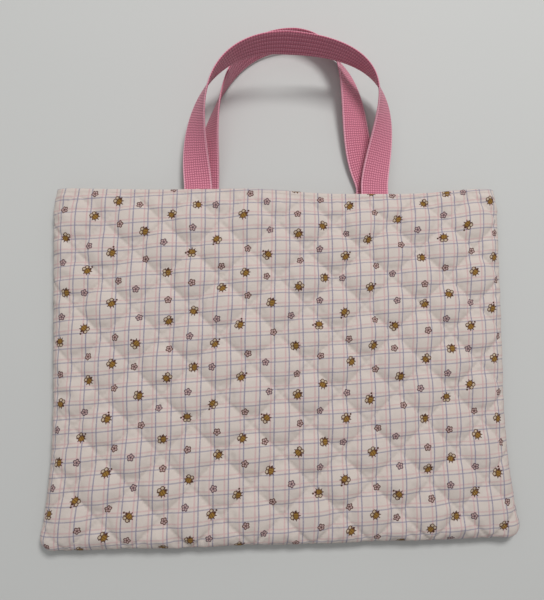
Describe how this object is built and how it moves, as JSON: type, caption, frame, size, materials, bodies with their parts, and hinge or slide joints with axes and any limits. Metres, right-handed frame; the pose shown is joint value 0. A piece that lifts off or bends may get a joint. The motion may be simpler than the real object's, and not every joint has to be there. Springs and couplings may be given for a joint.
{
  "type": "quilted tote bag",
  "caption": "Flat quilted cotton tote with a folded bottom, sewn side seams, a hemmed open mouth and twin webbing handle loops that swing and fold.",
  "frame": {"origin": "on the outer face of the back panel, midway between the side seams and midway from the bottom fold to the mouth", "axes": "+X across the bag to the right as seen from the front panel, +Y from the bottom fold to the mouth and handles, +Z from the back panel to the front panel"},
  "size_m": [0.3986, 0.4454, 0.0583],
  "materials": {
    "printed_cotton": "matte quilted cotton with a small check and scattered motifs",
    "batting": "soft white polyester wadding",
    "lining_cotton": "plain matte cotton",
    "thread": "spun polyester thread",
    "webbing": "ribbed pink acrylic webbing"
  },
  "bodies": {
    "back": {"back_face_cloth": "printed_cotton", "back_batting": "batting", "back_backing": "lining_cotton", "back_lining": "lining_cotton", "back_mouth_hem": "printed_cotton", "back_quilting_thread": "thread", "back_mouth_topstitch": "thread", "back_hem_stitch": "thread", "back_handle_stitching": "thread", "back_handle_left_end": "webbing", "back_handle_right_end": "webbing", "left_side_seam": "printed_cotton", "right_side_seam": "printed_cotton", "left_seam_allowance": "lining_cotton", "right_seam_allowance": "lining_cotton", "bottom_fold": "printed_cotton"},
    "front": {"front_face_cloth": "printed_cotton", "front_batting": "batting", "front_backing": "lining_cotton", "front_lining": "lining_cotton", "front_mouth_hem": "printed_cotton", "front_quilting_thread": "thread", "front_mouth_topstitch": "thread", "front_hem_stitch": "thread", "front_handle_stitching": "thread", "front_handle_left_end": "webbing", "front_handle_right_end": "webbing"},
    "front_handle": {"front_handle": "webbing"},
    "back_handle": {"back_handle": "webbing"}
  },
  "joints": [
    {"name": "mouth_open", "type": "hinge", "parent": "back", "child": "front", "pos_m": [0, -0.144, 0.0175], "axis": [1, 0, 0], "range_deg": [0, 10]},
    {"name": "front_handle_fold", "type": "hinge", "parent": "front", "child": "front_handle", "pos_m": [0, 0.15, 0.0175], "axis": [1, 0, 0], "range_deg": [0, 150]},
    {"name": "back_handle_fold", "type": "hinge", "parent": "back", "child": "back_handle", "pos_m": [0, 0.15, 0], "axis": [1, 0, 0], "range_deg": [-170, 0]}
  ]
}
